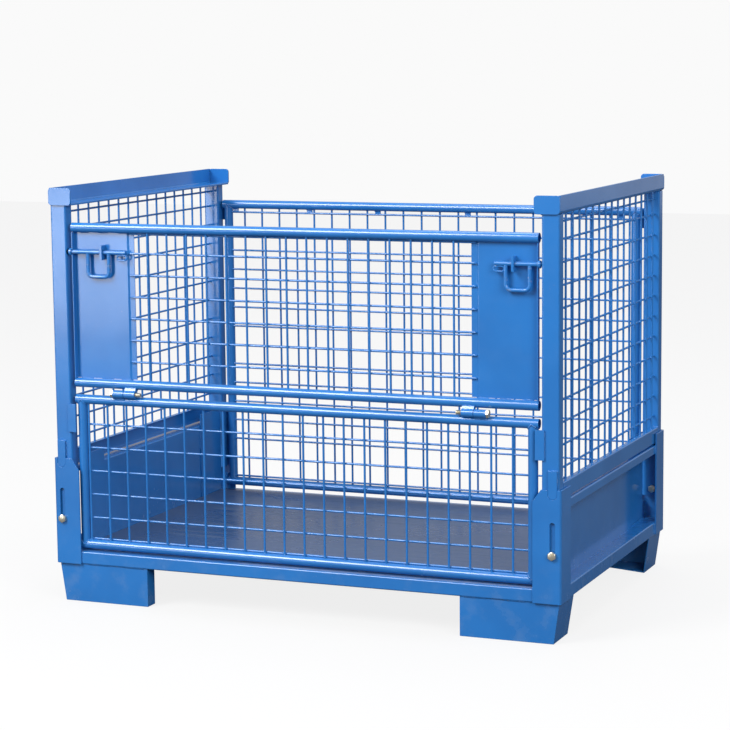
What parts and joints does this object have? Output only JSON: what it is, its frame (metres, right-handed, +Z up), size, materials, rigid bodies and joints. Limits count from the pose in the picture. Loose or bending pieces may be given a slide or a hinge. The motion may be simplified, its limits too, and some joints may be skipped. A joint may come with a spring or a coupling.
{
  "type": "wire mesh container",
  "caption": "Stacking wire mesh container on folded steel feet, with a two-part drop gate, slide bolts, lifting side walls and a folding rear wall.",
  "frame": {"origin": "on the ground, under the middle of the container", "axes": "+X along the long side with the drop gate facing -Y, +Y towards the rear wall, +Z up"},
  "size_m": [1.24, 0.8534, 0.97],
  "materials": {
    "blue_paint": "gloss mid-blue paint on welded steel",
    "floor_paint": "thin glossy blue-grey paint on sheet steel",
    "bolt_paint": "gloss blue paint, worn where the rod slides",
    "zinc_hardware": "pale yellow zinc plating"
  },
  "bodies": {
    "base": {"floor_plate": "floor_paint", "floor_bearers": "blue_paint", "front_rail": "blue_paint", "rear_rail": "blue_paint", "left_side_panel": "blue_paint", "right_side_panel": "blue_paint", "front_left_corner_plate": "blue_paint", "front_right_corner_plate": "blue_paint", "rear_left_corner_plate": "blue_paint", "rear_right_corner_plate": "blue_paint", "inner_corner_plates": "blue_paint", "front_left_foot": "blue_paint", "front_right_foot": "blue_paint", "rear_left_foot": "blue_paint", "rear_right_foot": "blue_paint", "gate_pivot_plates": "blue_paint", "gate_pivot_pins": "blue_paint"},
    "left_wall": {"left_front_post": "blue_paint", "left_rear_post": "blue_paint", "left_stacking_rail": "blue_paint", "left_rail_end_plates": "blue_paint", "left_bottom_rail": "blue_paint", "left_wall_uprights": "blue_paint", "left_wall_cross_wires": "blue_paint", "left_locking_lugs": "blue_paint", "left_stop_plates": "blue_paint", "left_pivot_bolts": "zinc_hardware"},
    "right_wall": {"right_front_post": "blue_paint", "right_rear_post": "blue_paint", "right_stacking_rail": "blue_paint", "right_rail_end_plates": "blue_paint", "right_bottom_rail": "blue_paint", "right_wall_uprights": "blue_paint", "right_wall_cross_wires": "blue_paint", "right_locking_lugs": "blue_paint", "right_stop_plates": "blue_paint", "right_pivot_bolts": "zinc_hardware"},
    "lower_gate": {"lower_gate_top_tube": "blue_paint", "lower_gate_bottom_tube": "blue_paint", "lower_gate_side_tubes": "blue_paint", "lower_gate_uprights": "blue_paint", "lower_gate_cross_wires": "blue_paint", "lower_gate_knuckles": "blue_paint", "hinge_bolts": "zinc_hardware"},
    "upper_gate": {"upper_gate_top_tube": "blue_paint", "upper_gate_bottom_tube": "blue_paint", "upper_gate_left_panel": "blue_paint", "upper_gate_right_panel": "blue_paint", "upper_gate_uprights": "blue_paint", "upper_gate_cross_wires": "blue_paint", "upper_gate_knuckles": "blue_paint", "bolt_guides": "blue_paint"},
    "left_bolt": {"left_slide_bolt": "bolt_paint"},
    "right_bolt": {"right_slide_bolt": "bolt_paint"},
    "rear_wall": {"rear_wall_top_tube": "blue_paint", "rear_wall_bottom_tube": "blue_paint", "rear_wall_side_tubes": "blue_paint", "rear_wall_uprights": "blue_paint", "rear_wall_cross_wires": "blue_paint", "rear_wall_tabs": "blue_paint"}
  },
  "joints": [
    {"name": "left_wall_lift", "type": "slide", "parent": "base", "child": "left_wall", "axis": [0, 0, 1], "range_m": [0, 0.065]},
    {"name": "right_wall_lift", "type": "slide", "parent": "base", "child": "right_wall", "axis": [0, 0, 1], "range_m": [0, 0.065]},
    {"name": "lower_gate_hinge", "type": "hinge", "parent": "base", "child": "lower_gate", "pos_m": [0, -0.399, 0.1364], "axis": [-1, 0, 0], "range_deg": [0, 90]},
    {"name": "upper_gate_hinge", "type": "hinge", "parent": "lower_gate", "child": "upper_gate", "pos_m": [0, -0.411, 0.497], "axis": [1, 0, 0], "range_deg": [0, 165]},
    {"name": "rear_wall_hinge", "type": "hinge", "parent": "base", "child": "rear_wall", "pos_m": [0, 0.399, 0.143], "axis": [-1, 0, 0], "range_deg": [-90, 0]},
    {"name": "left_bolt_slide", "type": "slide", "parent": "upper_gate", "child": "left_bolt", "axis": [1, 0, 0], "range_m": [-0.008, 0.028]},
    {"name": "right_bolt_slide", "type": "slide", "parent": "upper_gate", "child": "right_bolt", "axis": [-1, 0, 0], "range_m": [-0.01, 0.027]}
  ]
}
